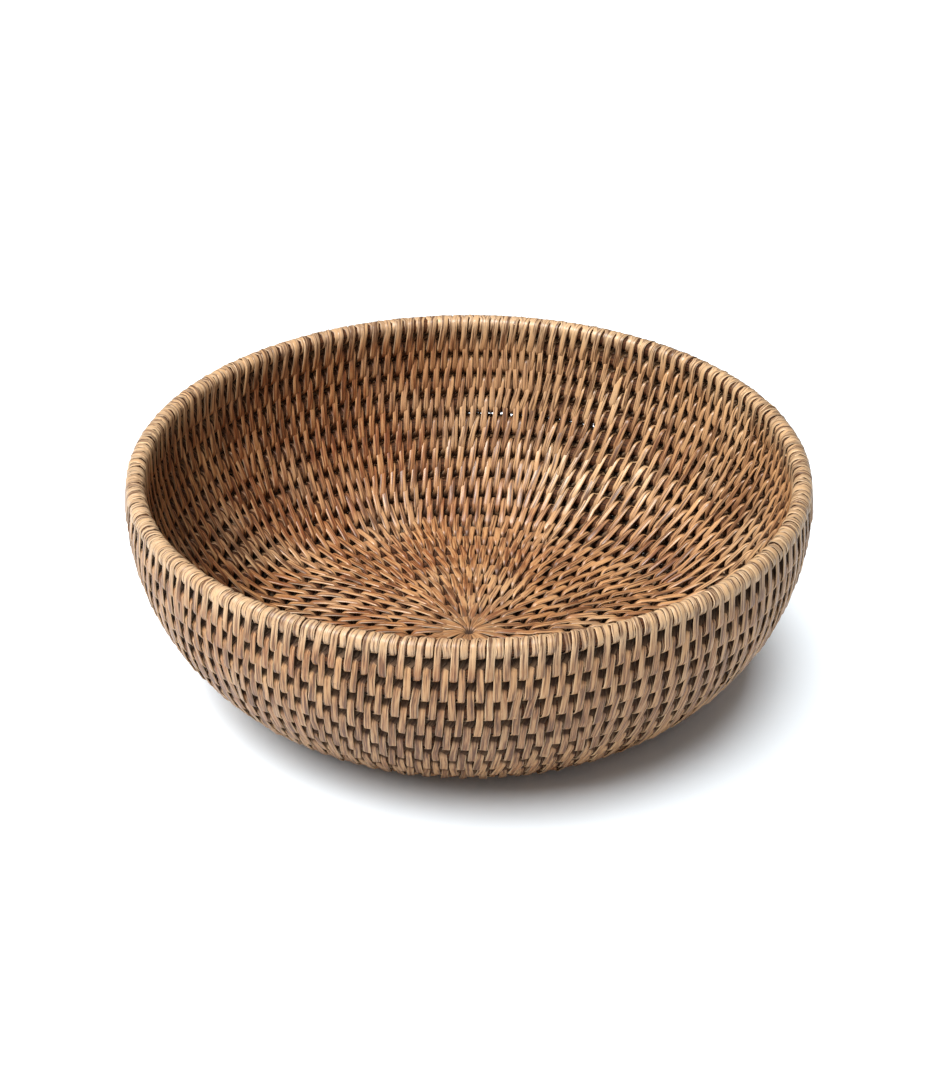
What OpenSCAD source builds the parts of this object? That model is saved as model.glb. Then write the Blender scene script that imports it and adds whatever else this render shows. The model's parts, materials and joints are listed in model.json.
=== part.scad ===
// Woven fruit basket: level hoops of round rattan core, bound side by side into a bowl.
// Each hoop is a bent rod with butted ends, and each has a binding of rattan peel lashed round it.
// Origin: bottom centre, +Z up, millimetres.

/* [Bowl] */
// Outer diameter at the widest, just below the rim
bowl_d = 300; // [290:5:320]
// Overall height
bowl_h = 95; // [90:1:100]
// Diameter of the flat floor, measured along the hoop centres
floor_d = 190; // [180:5:190]
// Slope at which the tight lower curve hands over to the gentle wall curve, in degrees
handover_slope = 38; // [34:1:44]
// How far past upright the wall turns in at the rim, in degrees
turn_in = 5; // [0:1:8]

/* [Hoops] */
// Diameter of the bare rattan rod
rod_d = 7.2; // [6.8:0.1:7.2]
// Radius of the innermost floor hoop, which leaves the small hole at the centre
first_hoop_r = 5.2; // [5:0.1:6]
// Spacing of the floor hoops
floor_pitch = 8.7; // [8.65:0.05:8.9]
// Number of floor hoops
floor_hoops = 11; // [10:1:11]
// Number of wall hoops below the rim hoop
wall_hoops = 10; // [9:1:10]
// Gap between the butted ends of a hoop
butt_gap = 0.8; // [0.4:0.1:2]

/* [Binding] */
// Thickness of the rattan peel
peel_t = 0.65; // [0.4:0.05:0.65]
// Clearance between the rod and the peel round it
peel_clearance = 0.05; // [0.02:0.01:0.05]
// Depth to which the underside of the floor binding is worn flat
worn_flat = 0.15; // [0.1:0.05:0.25]
// Width of the band of long stitches where they pass between two hoops
tie_w = 2.4; // [1.5:0.1:3]

/* [Hidden] */
$fn = 96;
rod_r = rod_d / 2;
peel_in_r = rod_r + peel_clearance;
peel_out_r = peel_in_r + peel_t;

// The hoop centres lie on one curve: the flat floor, a tight corner arc, and a gentle wall arc.
// The two radii are the ones that bring the wall to the bowl's diameter and height.
floor_r = floor_d / 2;
floor_z = peel_out_r - worn_flat;
rise = bowl_h - peel_out_r - floor_z;
reach = bowl_d / 2 - peel_out_r - floor_r;
rim_slope = 90 + turn_in;
hs = sin(handover_slope);
hc = cos(handover_slope);
climb = hc - cos(rim_slope);
corner_r = (reach * climb - rise * (1 - hs)) / (hs * climb - (1 - hs) * (1 - hc));
wall_r = (rise - corner_r * (1 - hc)) / climb;
corner_len = corner_r * handover_slope * PI / 180;
wall_len = wall_r * (rim_slope - handover_slope) * PI / 180;
curve_len = floor_r + corner_len + wall_len;

// Radius and height of the curve at a distance s along it from the centre
function corner_at(a) = [floor_r + corner_r * sin(a), floor_z + corner_r * (1 - cos(a))];
function wall_at(a) = corner_at(handover_slope) + wall_r * [sin(a) - hs, hc - cos(a)];
function curve_at(s) =
    s < floor_r ? [s, floor_z]
    : s < floor_r + corner_len ? corner_at((s - floor_r) / corner_r * 180 / PI)
    : wall_at(handover_slope + (s - floor_r - corner_len) / wall_r * 180 / PI);

// The wall hoops share the rest of the curve evenly, and the last one is the rim.
last_floor_s = first_hoop_r + floor_pitch * (floor_hoops - 1);
wall_pitch = (curve_len - last_floor_s) / (wall_hoops + 1);
function floor_hoop_at(i) = curve_at(first_hoop_r + floor_pitch * (i - 1));
function wall_hoop_at(i) = curve_at(last_floor_s + wall_pitch * i);
rim_at = wall_hoop_at(wall_hoops + 1);

// Successive butt joints are turned by the golden angle, so that no two neighbours meet.
joint_turn = 137.5;

function numbered(name, i) = str(name, "_", i < 10 ? "0" : "", i);

// A rod bent into a ring, its ends butted with a small gap
module hoop(centre, turn) {
    gap_angle = butt_gap / centre.x * 180 / PI;
    color("sienna")
        translate([0, 0, centre.y])
            rotate([0, 0, turn])
                rotate_extrude(angle = 360 - gap_angle)
                    translate([centre.x, 0])
                        circle(r = rod_r);
}

// The peel lashed round one hoop and tied to the binding of the hoop inside it, if there is one.
// It is worn flat where it stands on the table.
module binding(centre, inner) {
    color("burlywood")
        rotate_extrude()
            difference() {
                union() {
                    translate(centre) circle(r = peel_out_r);
                    if (inner) tie(centre, inner - centre);
                }
                translate(centre) circle(r = peel_in_r);
                if (inner) translate(inner) circle(r = peel_out_r + peel_clearance);
                translate([0, -peel_out_r]) square([bowl_d, peel_out_r]);
            }
}

// The band of long stitches from one hoop's centre towards the next
module tie(centre, way) {
    translate(centre)
        rotate(atan2(way.y, way.x))
            translate([0, -tie_w / 2])
                square([norm(way), tie_w]);
}

for (i = [1:floor_hoops]) {
    centre = floor_hoop_at(i);
    inner = i > 1 ? floor_hoop_at(i - 1) : false;
    hoop(centre, joint_turn * i);
    binding(centre, inner);
}
for (i = [1:wall_hoops]) {
    centre = wall_hoop_at(i);
    turn = joint_turn * (floor_hoops + i);
    hoop(centre, turn);
    binding(centre, wall_hoop_at(i - 1));
}
hoop(rim_at, joint_turn * (floor_hoops + wall_hoops + 1));  // rim_hoop
binding(rim_at, wall_hoop_at(wall_hoops));  // rim_binding
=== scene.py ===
import json
import math

import bpy
import numpy as np
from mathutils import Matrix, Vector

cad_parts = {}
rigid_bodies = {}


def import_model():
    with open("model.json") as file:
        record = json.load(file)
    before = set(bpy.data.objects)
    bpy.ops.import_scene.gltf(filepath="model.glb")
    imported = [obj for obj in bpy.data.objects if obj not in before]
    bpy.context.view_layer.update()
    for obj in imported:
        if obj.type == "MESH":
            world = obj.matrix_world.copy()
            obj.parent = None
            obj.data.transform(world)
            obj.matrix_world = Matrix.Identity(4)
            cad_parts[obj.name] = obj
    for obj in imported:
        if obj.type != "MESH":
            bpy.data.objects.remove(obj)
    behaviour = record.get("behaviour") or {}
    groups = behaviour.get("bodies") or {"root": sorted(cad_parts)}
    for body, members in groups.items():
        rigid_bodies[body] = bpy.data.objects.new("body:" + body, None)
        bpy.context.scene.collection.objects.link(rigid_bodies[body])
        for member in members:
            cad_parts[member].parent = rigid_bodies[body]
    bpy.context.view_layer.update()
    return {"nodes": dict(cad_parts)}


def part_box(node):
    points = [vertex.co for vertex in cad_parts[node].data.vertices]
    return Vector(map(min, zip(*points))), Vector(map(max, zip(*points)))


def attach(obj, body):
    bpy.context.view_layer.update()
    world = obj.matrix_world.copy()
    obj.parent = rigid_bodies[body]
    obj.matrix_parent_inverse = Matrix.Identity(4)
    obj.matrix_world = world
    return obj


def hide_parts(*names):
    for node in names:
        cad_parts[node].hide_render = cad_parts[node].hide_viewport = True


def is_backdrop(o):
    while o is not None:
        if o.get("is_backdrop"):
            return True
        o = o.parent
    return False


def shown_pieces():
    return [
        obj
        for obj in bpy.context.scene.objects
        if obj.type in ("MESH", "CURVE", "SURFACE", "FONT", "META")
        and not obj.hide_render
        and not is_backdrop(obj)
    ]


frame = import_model()

MM = 0.001
TURN = 2 * math.pi
FLOOR = [f"floor_{{}}_{i:02d}" for i in range(1, 12)]
WALL = [f"wall_{{}}_{i:02d}" for i in range(1, 11)]
COURSES = FLOOR + WALL + ["rim_{}"]
RIM = len(COURSES) - 1
rng = np.random.default_rng(11)

# ---------------------------------------------------------------- the hoops, from the CAD model


def hoop(course):
    """Rod radius, ring radius and height of a hoop's centre line, in mm."""
    lo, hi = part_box(course.format("hoop"))
    size = (hi - lo) / MM
    rod = size.z / 2
    return rod, max(size.x, size.y) / 2 - rod, (lo.z + hi.z) / 2 / MM


RODS = np.array([hoop(c) for c in COURSES])
CENTRE = RODS[:, 1:]
PEEL = 0.5
# Radius at which each of the two layers of peel on a rod starts, in mm. A stitch lies in the first layer on
# its own rod, and in the second on the rod inside it.
LEVEL_1 = RODS[0, 0] + 0.02
LEVEL_2 = LEVEL_1 + PEEL

# ---------------------------------------------------------------- where the stitches go round the bowl

# Spacing of a course's long stitches in mm, on the floor and at the rim
FLOOR_PITCH = 6.6
RIM_PITCH = 6.34
# Number of long stitches in the second course, which make the rosette
ROSETTE = 16
# Half the distance between two stitches that share a gap, in mm
PAIR = 1.5

counts = [0, ROSETTE]
for k in range(2, RIM + 1):
    pitch = np.interp(k, [10, RIM], [FLOOR_PITCH, RIM_PITCH])
    counts.append(max(round(TURN * CENTRE[k, 0] / pitch), counts[-1]))

# Lean per course in mm: outside, a stitch moves anticlockwise as it climbs. Inside, it does so on the floor
# and moves clockwise on the wall.
lean_out = np.interp(np.arange(RIM + 1), [2, 8, 11, RIM], [0.0, 0.1, 0.8, 1.3])
lean_in = np.interp(np.arange(RIM + 1), [1, 3, 9, 13, RIM], [0.0, -1.1, -1.1, 2.8, 2.8])


def at(angles, i):
    """The i-th angle of a full turn of sorted angles, where i may run past either end."""
    n = len(angles)
    return angles[np.mod(i, n)] + TURN * np.floor_divide(i, n)


def seats(angles, n, r):
    """n places in the gaps between these angles, one a gap, and two where there are more places than gaps."""
    m = len(angles)
    two = np.zeros(m, bool)
    if n > m:
        step = m / (n - m)
        two[((np.arange(n - m) + rng.uniform(0.15, 0.85, n - m)) * step).astype(int) % m] = True
        while two.sum() < n - m:
            two[rng.integers(m)] = True
    out = []
    for i in range(m):
        a, b = at(angles, i), at(angles, i + 1)
        mid = (a + b) / 2
        out += [mid - PAIR / r, mid + PAIR / r] if two[i] else [mid]
    return np.array(out)


def relaxed(angles, most):
    """The angles moved towards even spacing, none of them by more than this."""
    out = angles.copy()
    i = np.arange(len(angles))
    for _ in range(14):
        out += 0.5 * ((at(out, i - 1) + at(out, i + 1)) / 2 - out)
        out = np.clip(out, angles - most, angles + most)
    return out


# Angles of the long stitches where they go over their own hoop, and where they go under the one inside it
tops = [None, np.arange(ROSETTE) * TURN / ROSETTE + rng.normal(0, 0.03, ROSETTE)]
feet = [None, tops[1].copy()]
for k in range(2, RIM + 1):
    r = CENTRE[k, 0]
    foot = seats(tops[k - 1], counts[k], CENTRE[k - 1, 0])
    feet.append(foot)
    wave = 0.5 * np.sin(foot * 3 + k * 1.7) + 0.4 * np.sin(foot * 7 - k * 2.3)
    leaning = relaxed(foot + (lean_out[k] + 0.35 * wave) / r, 1.9 / r)
    tops.append(leaning + rng.normal(0, 0.16, len(foot)) / r)

# Angles of the short stitches, each of which lies under the foot of a long one
under = [np.arange(8) * TURN / 8] + [feet[k + 1] for k in range(1, RIM)]
rim_gaps = seats(tops[RIM], counts[RIM], CENTRE[RIM, 0])
under.append(rim_gaps + 0.18 * np.sign(np.sin(rim_gaps * 5 + 1)) / CENTRE[RIM, 0])

# The inside is turned against the outside by this angle at each course. It stays within one stitch, so that
# the peel always travels the same way round the bowl.
turn = np.zeros(RIM + 1)
turn[RIM] = 1.0 / CENTRE[RIM, 0]
for k in range(RIM - 1, -1, -1):
    step = turn[k + 1] + (lean_in[k + 1] + lean_out[k + 1]) / CENTRE[k + 1, 0]
    turn[k] = step % (TURN / counts[k + 1])

# ---------------------------------------------------------------- one course of lashing

# Sections of the peel, flat and domed: across in half widths, out in thicknesses.
FLAT = np.array([
    (-1, 0.4), (-0.94, 0.86), (-0.74, 1), (0.74, 1), (0.94, 0.86), (1, 0.4), (0.94, 0), (-0.94, 0),
])
DOMED = np.array([
    (-1, 0.2), (-0.8, 0.66), (-0.35, 1), (0.35, 1), (0.8, 0.66), (1, 0.2), (0.7, 0), (-0.7, 0),
])

# Stations of a stitch, from its start, hidden between two rods, up the inside of the bowl, over its own rod
# and down the outside. The columns are:
# rod: which rod it lies on, 0 for its own, 1 for the one inside that, and 0.5 between them
# degrees: how far round the rod, from the side away from the rod inside it, by way of the outside
# width and thickness, in mm
# domed: its section, from 0, flat, to 1, domed
# fill: 1 where it fills the gap between two rods
# painted_shade: painted shade, how dark it is made where it goes into the gap between two rods and under the
# stitch above, from 0 to 1
# shift: how far its middle is pushed aside, in mm
LONG = [
    (1, 180, 2.4, 0.5, 0.5, 0, 1, 0),
    (1, 200, 1.4, 0.55, 1, 0, 0.6, 0),
    (1, 220, 1.35, 0.6, 0.8, 0, 0.3, 0),
    (1, 240, 1.8, 0.65, 0.6, 0, 0.1, 0),
    (1, 262, 2.45, 0.7, 0.5, 0, 0, 0),
    (0.5, 270, 2.9, 0.7, 0.5, 0, 0, 0),
    (0, 276, 3.15, 0.7, 0.5, 0, 0, 0),
    (0, 296, 2.95, 0.7, 0.5, 0, 0, 0),
    (0, 314, 2.35, 0.65, 0.5, 0, 0, 0.1),
    (0, 328, 1.8, 0.6, 0.5, 0, 0, 0.25),
    (0, 342, 1.8, 0.5, 0.5, 0, 0.4, 0.2),
    (0, 360, 5.4, 0.5, 0, 1, 1, 0),
    (0, 22, 3.2, 0.5, 0, 0, 1, 0),
    (0, 40, 3.0, 0.5, 0, 0, 0.9, 0),
    (0, 52, 3.0, 0.5, 0, 0, 0.15, 0),
    (0, 70, 3.05, 0.5, 0, 0, 0, 0),
    (0.5, 90, 3.0, 0.5, 0, 0, 0, 0),
    (1, 96, 3.05, 0.5, 0, 0, 0, 0),
    (1, 114, 3.0, 0.5, 0, 0, 0, 0),
    (1, 126, 2.85, 0.5, 0, 0, 0, -0.07),
    (1, 136, 2.5, 0.5, 0, 0, 0, -0.25),
    (1, 145, 1.95, 0.5, 0.2, 0, 0.15, -0.52),
    (1, 158, 1.5, 0.5, 0.5, 0, 0.9, -0.75),
    (1, 180, 2.4, 0.5, 0.5, 0, 1, 0),
]
SHORT = [
    (0, 180, 5.4, 0.5, 0, 1, 1, 0),
    (0, 205, 2.6, 0.5, 0.3, 0, 0.7, 0),
    (0, 230, 1.7, 0.45, 0.6, 0, 0.35, 0),
    (0, 255, 1.6, 0.45, 0.6, 0, 0.35, 0),
    (0, 280, 1.6, 0.45, 0.6, 0, 0.35, 0),
    (0, 305, 1.6, 0.45, 0.6, 0, 0.35, 0),
    (0, 338, 2.0, 0.5, 0.5, 0, 0.5, 0),
    (0, 360, 5.4, 0.5, 0, 1, 1, 0),
    (0, 22, 3.0, 0.5, 0, 0, 1, 0),
    (0, 50, 3.0, 0.5, 0, 0, 0.8, 0),
    (0, 75, 3.0, 0.5, 0, 0, 0.6, 0),
    (0, 100, 3.0, 0.5, 0, 0, 0.6, 0),
    (0, 122, 2.85, 0.5, 0, 0, 0.6, -0.07),
    (0, 140, 2.2, 0.5, 0, 0, 0.7, -0.4),
    (0, 155, 1.6, 0.5, 0, 0, 0.9, -0.6),
    (0, 180, 5.4, 0.5, 0, 1, 1, 0),
]
# The stations at which a stitch's angle round the bowl is set
LONG_MARKS = [0, 1, 9, 11, 13, 20, 23]
SHORT_MARKS = [0, 1, 6, 7, 9, 13, 15]
# How much the angle of a long stitch varies at each of its marks, in mm
LONG_SPREAD = np.array([0, 0.15, 0.2, 0.1, 0, 0.12, 0])
# Width of the stitches over the rim, in mm
RIM_WIDTH = 2.98
# The gap taken inside the first hoop, in mm
HUB_GAP = 1.4
# Nearer the middle than this, in mm, the rosette's stitches are thick, which closes the centre
HUB_R = 1.8
# Strips inside that are narrower than this, in mm, are the tapered ends of the stitches
SLIM = 2.6
# Height up to which the underside is worn, and the depth worn away, in mm
WORN_TOP = 1.0
WORN = 0.75
# The lashing of these courses is loose round this angle, at the back, where light comes through
LOOSE_COURSES = (16, 17)
LOOSE_ANGLE = 1.33
LOOSE_SPAN = 0.25


def on_rim(stations):
    """The same stitch on the rim, where it lies flat and wide over the top, with painted shade kept only
    underneath the rim.
    """
    out = []
    for rod, degrees, width, thick, domed, fill, painted_shade, shift in stations:
        if rod == 0 and (degrees >= 290 or degrees < 110):
            out.append((rod, degrees, RIM_WIDTH, thick, 0, 0, 0, 0))
        else:
            out.append((rod, degrees, width, thick, domed, 0, 0 if degrees < 150 else painted_shade, shift))
    return out


def profile(k, stations):
    """Base line of a stitch in the (r, z) plane, its outward normals and the length along it, in mm."""
    lower = CENTRE[k - 1] if k else CENTRE[0] - [CENTRE[1, 0] - CENTRE[0, 0], 0]
    along = (CENTRE[k] - lower) / np.linalg.norm(CENTRE[k] - lower)
    out = np.array([along[1], -along[0]])
    points, normals = [], []
    for rod, degrees, *_ in stations:
        t = math.radians(degrees)
        n = math.cos(t) * along + math.sin(t) * out
        radius = LEVEL_1 + rod * (LEVEL_2 - LEVEL_1)
        points.append(CENTRE[k] * (1 - rod) + lower * rod + radius * n)
        normals.append(n)
    points = np.array(points)
    length = np.r_[0, np.cumsum(np.linalg.norm(np.diff(points, axis=0), axis=1))]
    return points, np.array(normals), length


def strips(k, stations, marks, anchors):
    """Vertices of a set of stitches, as an array of stitch, station, section point and xyz, with their strip
    coordinates. anchors holds a column of angles for each of the marks, which are station numbers."""
    points, normals, length = profile(k, stations)
    n, s = len(anchors), len(stations)
    angle = np.array([np.interp(length, length[marks], a) for a in anchors])
    waves = rng.uniform(1, 3, (n, 1))
    wander = np.sin(length / length[-1] * TURN * waves + rng.uniform(0, 6, (n, 1)))
    angle = angle + wander * rng.normal(0, 0.18, (n, 1)) / np.maximum(points[:, 0], 8)
    _, _, width, thick, domed, fill, _, shift = np.array(stations).T
    gap = np.linalg.norm(CENTRE[k] - CENTRE[k - 1]) - 2 * LEVEL_1 if k else HUB_GAP
    thick = thick + fill * max(1.1 * gap - PEEL, 0)
    # Inside the bowl, the strips are narrower on the wall, and their tapered ends widest at the back left.
    faces_in = (normals[:, 0] < 0.1) & (fill == 0)
    narrow = np.interp(k, [9, 12, RIM - 1, RIM], [1, 0.92, 0.92, 1])
    width = width * np.where(faces_in, narrow, 1)
    half = np.broadcast_to(width / 2, (n, s)) * rng.normal(1, 0.075, (n, 1)).clip(0.8, 1.16)
    half = half * np.where(faces_in & (width < SLIM), 1.12 + 0.24 * np.cos(angle - 1.9), 1)
    if k == 1:
        half = half * np.where(normals[:, 1] > 0, 1.4, 1)
        thick = np.where(points[:, 0] < HUB_R, 1.2, thick * 0.75)
        domed = domed * 0.4
    if k <= 1:
        half = np.minimum(half, np.maximum(0.94 * math.pi * points[:, 0] / ROSETTE, 0.3))
    thick = np.broadcast_to(thick, (n, s)) * rng.normal(1, 0.08, (n, 1))
    if k in LOOSE_COURSES:
        loose = np.where((fill > 0) & (np.abs(angle - LOOSE_ANGLE) < LOOSE_SPAN), 0.35, 1)
        half = half * loose
        thick = thick * loose
    r, z = points.T
    path = np.stack([np.broadcast_to(np.gradient(r), (n, s)), np.broadcast_to(np.gradient(z), (n, s)),
                     r * np.gradient(angle, axis=1)], -1)
    path /= np.linalg.norm(path, axis=-1, keepdims=True)
    normal = np.broadcast_to(np.c_[normals, np.zeros(s)], (n, s, 3))
    side = np.where((fill > 0)[:, None], np.array([0.0, 0.0, 1.0]), np.cross(path, normal))
    section = FLAT + domed[:, None, None] * (DOMED - FLAT)
    across = half[..., None] * section[None, ..., 0] + shift[:, None]
    out = thick[..., None] * section[None, ..., 1]
    roll = np.radians(rng.normal(0, 5.5, (n, 1, 1)))
    out = out + across * np.sin(roll) + np.abs(np.sin(roll)) * 0.8 + np.abs(rng.normal(0, 0.05, (n, 1, 1)))
    rr = r[None, :, None] + across * side[..., None, 0] + out * normal[..., None, 0]
    zz = z[None, :, None] + across * side[..., None, 1] + out * normal[..., None, 1]
    aa = angle[..., None] + across * side[..., None, 2] / np.maximum(r, 1.0)[None, :, None]
    zz = np.where(zz < WORN_TOP, np.maximum((zz + WORN) / (WORN_TOP + WORN), 0.02), zz)
    xyz = np.stack([rr * np.cos(aa), rr * np.sin(aa), zz], -1)
    strip = np.stack([across, np.broadcast_to(length[None, :, None], across.shape)], -1)
    return xyz, strip


def loops(k):
    """The long and the short stitches of a course: for each, the vertices, strip coordinates and stations."""
    sets = []
    r = CENTRE[k, 0]
    if k:
        top, foot = tops[k], feet[k]
        j = np.arange(len(top))
        low = CENTRE[k - 1, 0]
        ahead = top + turn[k] + lean_in[k] / r - turn[k - 1] - foot
        i = j + round(float(np.mean(ahead)) * len(top) / TURN)
        mouth = at(foot, i) + turn[k - 1]
        under_start = (at(foot, i + 1) + mouth) / 2
        under_end = (foot + at(foot, j - 1) + turn[k - 1]) / 2
        head = top + turn[k]
        spread = rng.normal(0, 1, (len(j), len(LONG_MARKS))) * LONG_SPREAD / low
        anchors = [under_start, mouth, head, top + turn[k] / 2, top, foot, under_end]
        stations = on_rim(LONG) if k == RIM else LONG
        sets.append(strips(k, stations, LONG_MARKS, np.stack(anchors, 1) + spread) + (stations,))
    base = under[k]
    j = np.arange(len(base))
    turned = base + turn[k]
    drift = lean_in[min(k + 1, RIM)] * 0.45 / r
    start = (at(base, j + 1) + turned) / 2
    end = (base + at(turned, j - 1)) / 2
    anchors = np.stack([start, turned, turned - drift, base + turn[k] / 2, base, base, end], 1)
    anchors += rng.normal(0, 0.1, (len(base), 1)) / r
    stations = on_rim(SHORT) if k == RIM else SHORT
    sets.append(strips(k, stations, SHORT_MARKS, anchors) + (stations,))
    return sets


def runs(n):
    """A tone and a redness for each of n stitches. One length of peel makes a run of alike stitches."""
    tone, rust = np.zeros(n), np.zeros(n)
    i = 0
    while i < n:
        j = i + int(rng.integers(8, 34))
        tone[i:j] = rng.uniform(0.15, 0.85)
        rust[i:j] = rng.choice([0.1, 0.3, 0.75], p=[0.5, 0.3, 0.2])
        i = j
    tone = (tone * 0.55 + 0.45 * rng.random(n) + rng.normal(0, 0.1)).clip(0, 1)
    return tone, (rust + rng.normal(0, 0.15, n)).clip(0, 1)


def cell(stitch, total, u, v):
    """Texture coordinates in a layout with a cell for each stitch, from 0 to 1 along and round the stitch."""
    columns = max(1, round(math.sqrt(total / 5)))
    rows = math.ceil(total / columns)
    x = (stitch % columns + 0.06 + 0.88 * u) / columns
    y = (stitch // columns + 0.1 + 0.8 * v) / rows
    return np.stack([x, y], -1).reshape(-1, 2)


def lash(k):
    """The mesh of one course of lashing."""
    name = COURSES[k].format("lashing")
    verts, faces, totals, uvs, bakes = [], [], [], [], []
    looks = {"tone": [], "rust": [], "inside": [], "painted_shade": []}
    first = number = 0
    sets = loops(k)
    total = sum(len(x[0]) for x in sets)
    for xyz, strip, stations in sets:
        n, s, p, _ = xyz.shape
        degrees = np.array([x[1] for x in stations])
        inside = np.clip((-np.sin(np.radians(degrees)) + 0.2) / 0.4, 0, 1)
        radius = np.linalg.norm(xyz[0, :, :, :2], axis=-1).mean(axis=1)
        # Painted shade: darker where the stitch lies in the gap between rods, and near the middle of the
        # rosette.
        painted_shade = np.maximum([x[6] for x in stations], np.clip((2.6 - radius) / 0.8, 0, 1))
        tone, rust = runs(n)
        verts.append(xyz.reshape(-1, 3) * MM)
        looks["tone"].append(np.repeat(tone, s * p))
        looks["rust"].append(np.repeat(rust, s * p))
        looks["inside"].append(np.tile(np.repeat(inside, p), n))
        looks["painted_shade"].append(np.tile(np.repeat(painted_shade, p), n))
        index = first + np.arange(n * s * p).reshape(n, s, p)
        a, b = index[:, :-1], index[:, 1:]
        quads = np.stack([a, np.roll(a, -1, 2), np.roll(b, -1, 2), b], -1).reshape(-1, 4)
        ends = np.concatenate([index[:, 0, ::-1], index[:, -1]]).reshape(-1, p)
        shifted = strip + np.stack([np.zeros(n), rng.uniform(0, 400, n)], -1)[:, None, None]
        flat = shifted.reshape(-1, 2)
        part = strip[0, :, 0, 1] / strip[0, -1, 0, 1]
        i, j = np.meshgrid(np.arange(s - 1), np.arange(p), indexing="ij")
        u = np.stack([part[i], part[i], part[i + 1], part[i + 1]], -1).reshape(-1)
        v = np.stack([j, j + 1, j + 1, j], -1).reshape(-1) / p
        about = np.arange(p) * TURN / p
        stitch = number + np.arange(n)[:, None]
        bakes.append(cell(stitch, total, u, v))
        for end in (-0.035, 1.035):
            bakes.append(cell(stitch, total, end + 0.02 * np.cos(about), 0.5 + 0.3 * np.sin(about)))
        number += n
        for block in (quads, ends):
            faces.append(block.ravel())
            totals.append(np.full(len(block), block.shape[1]))
            uvs.append(flat[block.ravel() - first])
        first += n * s * p
    verts, faces, totals = np.concatenate(verts), np.concatenate(faces), np.concatenate(totals)
    mesh = bpy.data.meshes.new(name)
    mesh.vertices.add(len(verts))
    mesh.vertices.foreach_set("co", verts.ravel())
    mesh.loops.add(len(faces))
    mesh.loops.foreach_set("vertex_index", faces.astype(np.int32))
    mesh.polygons.add(len(totals))
    mesh.polygons.foreach_set("loop_start", (np.cumsum(totals) - totals).astype(np.int32))
    mesh.update(calc_edges=True)
    layer = mesh.uv_layers.new(name="strip")
    layer.data.foreach_set("uv", np.concatenate(uvs).astype(np.float32).ravel())
    layer = mesh.uv_layers.new(name="OFBake")
    layer.data.foreach_set("uv", np.concatenate(bakes).astype(np.float32).ravel())
    for label, values in looks.items():
        attribute = mesh.attributes.new(label, "FLOAT", "POINT")
        attribute.data.foreach_set("value", np.concatenate(values).astype(np.float32))
    mesh.shade_smooth()
    mesh.validate()
    piece = bpy.data.objects.new(name, mesh)
    bpy.context.scene.collection.objects.link(piece)
    return piece


# ---------------------------------------------------------------- materials


class Nodes:
    """Short ways to make the nodes of one material."""

    def __init__(self, name):
        self.material = bpy.data.materials.new(name)
        self.material.use_nodes = True
        self.tree = self.material.node_tree
        self.shader = self.tree.nodes["Principled BSDF"]

    def add(self, kind, **inputs):
        node = self.tree.nodes.new("ShaderNode" + kind)
        for key, value in inputs.items():
            self.put(value, node.inputs[key.replace("_", " ")])
        return node

    def put(self, value, socket):
        if isinstance(value, bpy.types.NodeSocket):
            self.tree.links.new(value, socket)
        else:
            socket.default_value = value

    def math(self, operation, a, b=0.0, c=0.0):
        node = self.tree.nodes.new("ShaderNodeMath")
        node.operation = operation
        for value, socket in zip((a, b, c), node.inputs):
            self.put(value, socket)
        return node.outputs[0]

    def attribute(self, name):
        node = self.tree.nodes.new("ShaderNodeAttribute")
        node.attribute_name = name
        return node.outputs["Fac"]

    def vector(self, x, y, z):
        return self.add("CombineXYZ", X=x, Y=y, Z=z).outputs[0]

    def noise(self, vector, scale, detail=3.0, roughness=0.55):
        node = self.add("TexNoise", Vector=vector, Scale=scale, Detail=detail, Roughness=roughness)
        return node.outputs["Fac"]

    def span(self, value, low, high, to_low=0.0, to_high=1.0):
        node = self.add("MapRange", Value=value)
        for key, v in (("From Min", low), ("From Max", high), ("To Min", to_low), ("To Max", to_high)):
            node.inputs[key].default_value = v
        node.clamp = True
        return node.outputs["Result"]

    def mix(self, factor, a, b):
        """Colour a turning into colour b. The colour sockets of this node are inputs 6 and 7 and output 2."""
        node = self.tree.nodes.new("ShaderNodeMix")
        node.data_type = "RGBA"
        self.put(factor, node.inputs["Factor"])
        self.put(a, node.inputs[6])
        self.put(b, node.inputs[7])
        return node.outputs[2]


def rgb(r, g, b):
    """A colour given in sRGB levels out of 255."""
    def linear(c):
        c /= 255
        return c / 12.92 if c <= 0.04045 else ((c + 0.055) / 1.055) ** 2.4
    return (linear(r), linear(g), linear(b), 1.0)


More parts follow.
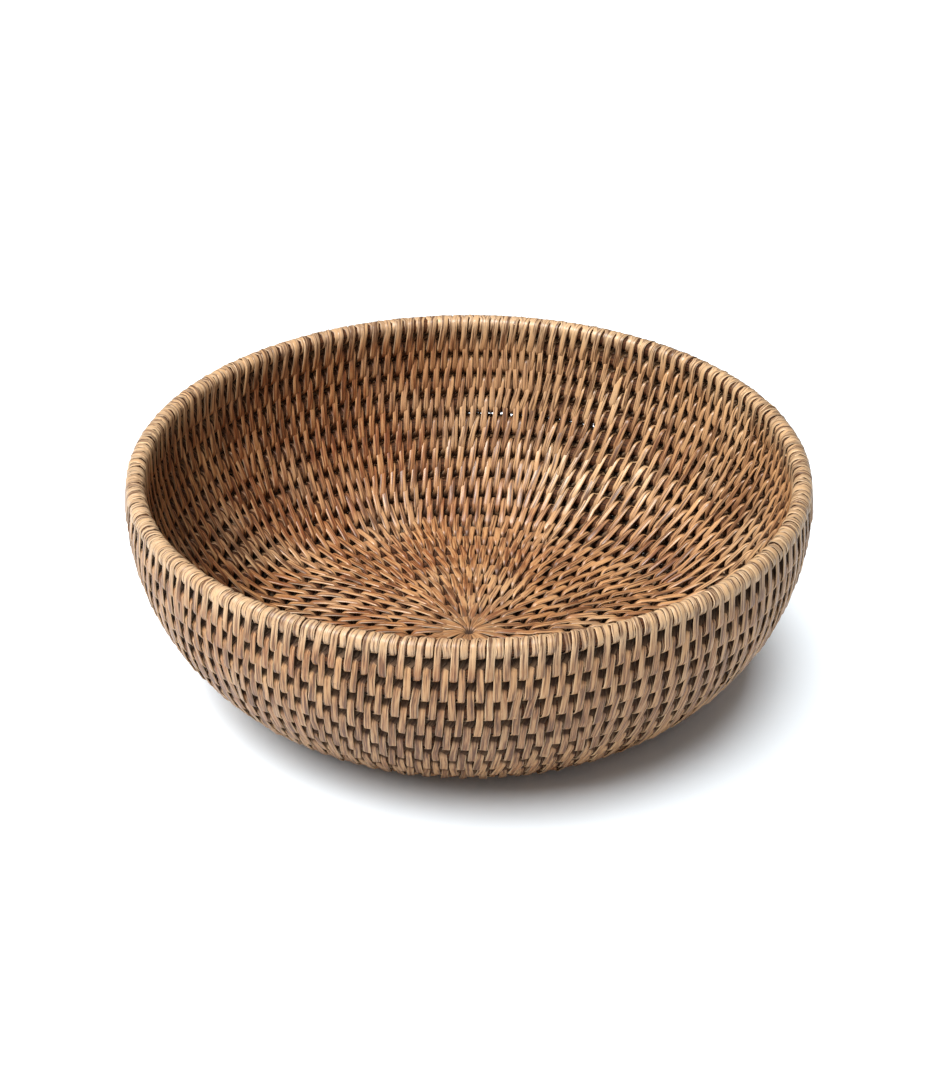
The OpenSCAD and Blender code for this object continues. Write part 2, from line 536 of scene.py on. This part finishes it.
def peel_material():
    n = Nodes("rattan_peel")
    uv = n.tree.nodes.new("ShaderNodeUVMap")
    uv.uv_map = "strip"
    split = n.add("SeparateXYZ", Vector=uv.outputs[0])
    across, along = split.outputs[0], split.outputs[1]
    tone, rust_run, inside = n.attribute("tone"), n.attribute("rust"), n.attribute("inside")
    which = n.math("MULTIPLY", tone, 97.0)
    place = n.tree.nodes.new("ShaderNodeTexCoord").outputs["Object"]

    def along_strip(fine, coarse, seed, detail=3.0, roughness=0.55):
        x = n.math("MULTIPLY", across, fine)
        y = n.math("MULTIPLY", along, coarse)
        spot = n.vector(x, y, n.math("ADD", which, seed))
        return n.noise(spot, 1.0, detail, roughness)

    def patch(middle, near, far):
        """1 near this place and 0 far from it."""
        away = n.tree.nodes.new("ShaderNodeVectorMath")
        away.operation = "DISTANCE"
        n.put(place, away.inputs[0])
        away.inputs[1].default_value = middle
        return n.span(away.outputs["Value"], near, far, 1.0, 0.0)

    fibre = along_strip(1.25, 0.06, 0.0, 3.0, 0.6)
    mottle = along_strip(0.5, 0.2, 3.0)
    fleck = along_strip(2.0, 0.9, 7.0, 2.0)
    area = n.noise(place, 45.0, 2.0)
    height = n.add("SeparateXYZ", Vector=place).outputs[2]
    rim = n.span(height, 0.082, 0.090)
    light = n.mix(rim, n.mix(inside, rgb(162, 119, 78), rgb(177, 122, 75)), rgb(184, 155, 123))
    dark = n.mix(rim, n.mix(inside, rgb(114, 75, 45), rgb(97, 55, 30)), rgb(158, 127, 94))
    rust = n.mix(inside, rgb(132, 80, 44), rgb(122, 62, 30))
    shade = n.math("ADD", n.math("MULTIPLY", tone, 0.55), n.math("MULTIPLY", mottle, 0.6))
    colour = n.mix(n.span(shade, 0.3, 0.84), dark, light)
    reddish = n.math("ADD", n.math("MULTIPLY", area, 0.6), n.math("MULTIPLY", rust_run, 0.35))
    reddish = n.math("ADD", reddish, n.math("MULTIPLY", mottle, 0.3))
    reddish = n.math("ADD", reddish, n.math("MULTIPLY", patch((-0.06, 0.11, 0.08), 0.04, 0.15), 0.3))
    off_rim = n.math("SUBTRACT", 1.0, n.math("MULTIPLY", rim, 0.7))
    redness = n.math("MULTIPLY", n.span(reddish, 0.56, 0.82, 0.0, 0.75), off_rim)
    colour = n.mix(redness, colour, rust)
    # Painted highlight: two patches of paler, cream stitches, at the back and at the right of the inside
    # wall, stand in for sheen there, together with some paler peel. Cream areas at random are added on top.
    cream_and_sheen = n.math("MULTIPLY", patch((0.05, 0.13, 0.05), 0.02, 0.09), 0.4)
    cream_and_sheen = n.math("ADD", cream_and_sheen, n.math("MULTIPLY", patch((0.12, 0.06, 0.06), 0.03, 0.1), 0.2))
    cream_and_sheen = n.math("MULTIPLY", cream_and_sheen, n.span(tone, 0.1, 0.6, 0.4, 1.2))
    cream_and_sheen = n.math("ADD", cream_and_sheen, n.span(n.noise(place, 28.0, 1.0), 0.52, 0.68, 0.0, 0.3))
    colour = n.mix(n.math("MULTIPLY", cream_and_sheen, inside), colour, rgb(216, 184, 143))
    colour = n.mix(n.span(fibre, 0.4, 0.5, 0.9, 0.0), colour, rgb(80, 49, 29))
    pale_fibre = n.mix(inside, rgb(192, 155, 112), rgb(208, 163, 112))
    colour = n.mix(n.span(fibre, 0.5, 0.62, 0.0, 0.5), colour, pale_fibre)
    colour = n.mix(n.span(fleck, 0.66, 0.74, 0.0, 0.6), colour, rgb(78, 46, 28))
    # Painted highlight: the edges of each strip are paler.
    edge = n.math("ABSOLUTE", across)
    colour = n.mix(n.span(edge, 1.15, 1.5, 0.0, 0.3), colour, rgb(222, 198, 162))
    # Painted shade: near black where the stitches go into the gaps between rods, under the stitch above, and
    # at the middle of the rosette. It also makes them rougher.
    painted_shade = n.math("MULTIPLY", n.attribute("painted_shade"), 0.85)
    colour = n.mix(n.math("MULTIPLY", patch((0.0, 0.0, 0.008), 0.012, 0.03), 0.3), colour, rgb(122, 100, 76))
    colour = n.mix(painted_shade, colour, rgb(34, 17, 8))
    n.put(colour, n.shader.inputs["Base Color"])
    rough = n.math("SUBTRACT", n.span(fibre, 0.3, 0.7, 0.52, 0.4), n.math("MULTIPLY", inside, 0.1))
    n.shader.inputs["Specular IOR Level"].default_value = 0.4
    n.put(n.math("ADD", rough, n.math("MULTIPLY", painted_shade, 0.5)), n.shader.inputs["Roughness"])
    bump = n.add("Bump", Height=fibre, Strength=0.6, Distance=0.0003)
    n.put(bump.outputs[0], n.shader.inputs["Normal"])
    return n.material


def core_material():
    n = Nodes("rattan_rod")
    place = n.tree.nodes.new("ShaderNodeTexCoord").outputs["Object"]
    x, y, z = n.add("SeparateXYZ", Vector=place).outputs
    out = n.math("SQRT", n.math("ADD", n.math("MULTIPLY", x, x), n.math("MULTIPLY", y, y)))
    about = n.math("ARCTAN2", y, x)
    fibre = n.noise(n.vector(out, z, n.math("MULTIPLY", about, 0.004)), 1500.0, 3.0)
    mottle = n.noise(place, 60.0)
    # Painted shade: the rods are far darker brown than rattan core, so that the gaps between the stitches
    # look shaded where the rods show.
    colour = n.mix(n.span(fibre, 0.35, 0.65), rgb(34, 18, 9), rgb(92, 56, 32))
    colour = n.mix(n.span(mottle, 0.4, 0.7, 0.0, 0.5), colour, rgb(58, 32, 17))
    n.put(colour, n.shader.inputs["Base Color"])
    n.shader.inputs["Roughness"].default_value = 0.8
    n.shader.inputs["Specular IOR Level"].default_value = 0.2
    bump = n.add("Bump", Height=fibre, Strength=0.5, Distance=0.0003)
    n.put(bump.outputs[0], n.shader.inputs["Normal"])
    return n.material


peel, core = peel_material(), core_material()
for k, course in enumerate(COURSES):
    piece = lash(k)
    piece.data.materials.append(peel)
    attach(piece, "root")
    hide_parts(course.format("binding"))
    rod = frame["nodes"][course.format("hoop")]
    rod.data.materials.clear()
    rod.data.materials.append(core)

# ---------------------------------------------------------------- floor, light and camera

ground_material = Nodes("ground")
ground_material.shader.inputs["Base Color"].default_value = (0.91, 0.92, 0.93, 1)
ground_material.shader.inputs["Roughness"].default_value = 0.9
ground_material.shader.inputs["Specular IOR Level"].default_value = 0.1
bpy.ops.mesh.primitive_plane_add(size=20)
ground = bpy.context.object
ground.name = "ground"
ground.data.materials.append(ground_material.material)
ground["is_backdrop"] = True


def aim(thing, place, target):
    """Puts a lamp or camera in place, looking at the target."""
    thing.location = place
    away = np.array(target) - np.array(place)
    away = away / np.linalg.norm(away)
    thing.rotation_euler = (math.acos(-away[2]), 0, math.atan2(-away[0], away[1]))


def lamp(name, place, size, watts, colour=(1, 1, 1)):
    light = bpy.data.lights.new(name, "AREA")
    light.shape = "RECTANGLE"
    light.size, light.size_y = size
    light.energy = watts
    light.color = colour
    thing = bpy.data.objects.new(name, light)
    bpy.context.scene.collection.objects.link(thing)
    aim(thing, place, (0, 0, 0.03))
    return thing


def only(name, light, things):
    """This lamp lights nothing but these things."""
    group = bpy.data.collections.new(name)
    for thing in things:
        group.objects.link(thing)
    light.light_linking.receiver_collection = group


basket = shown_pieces()
only("basket", lamp("key", (-0.92, -0.68, 2.05), (1.1, 1.1), 110), basket)
only("basket_fill", lamp("fill", (0.15, -1.8, 0.35), (1.6, 1.0), 8.5, (1, 0.9, 0.8)), basket)
only("floor", lamp("floor_light", (-1.2, 0.5, 2.1), (2.4, 2.4), 36, (0.88, 0.95, 1)), [ground])
floor_light = lamp("floor_soft", (-1.05, 0.2, 2.1), (3.8, 3.8), 170, (0.9, 0.96, 1))
only("floor_soft", floor_light, [ground])
# Only the lower courses shade this lamp, which gives the photo's soft shadow to the right.
SHADING = 15
low = bpy.data.collections.new("low")
for course in COURSES[:SHADING]:
    low.objects.link(bpy.data.objects[course.format("lashing")])
    low.objects.link(frame["nodes"][course.format("hoop")])
floor_light.light_linking.blocker_collection = low
world = bpy.data.worlds.new("studio")
world.use_nodes = True
world.node_tree.nodes["Background"].inputs["Color"].default_value = (1, 1, 1, 1)
world.node_tree.nodes["Background"].inputs["Strength"].default_value = 0.27
scene = bpy.context.scene
scene.world = world
scene.view_settings.view_transform = "Standard"

camera_data = bpy.data.cameras.new("camera")
camera_data.sensor_fit = "AUTO"
camera_data.sensor_width = 36
camera_data.lens = 101.2
camera_data.shift_x = 0.0004
camera_data.shift_y = 0.0148
camera = bpy.data.objects.new("camera", camera_data)
scene.collection.objects.link(camera)
aim(camera, (0, -1.1615, 0.7355), (0, 0, 0.0475))
scene.camera = camera
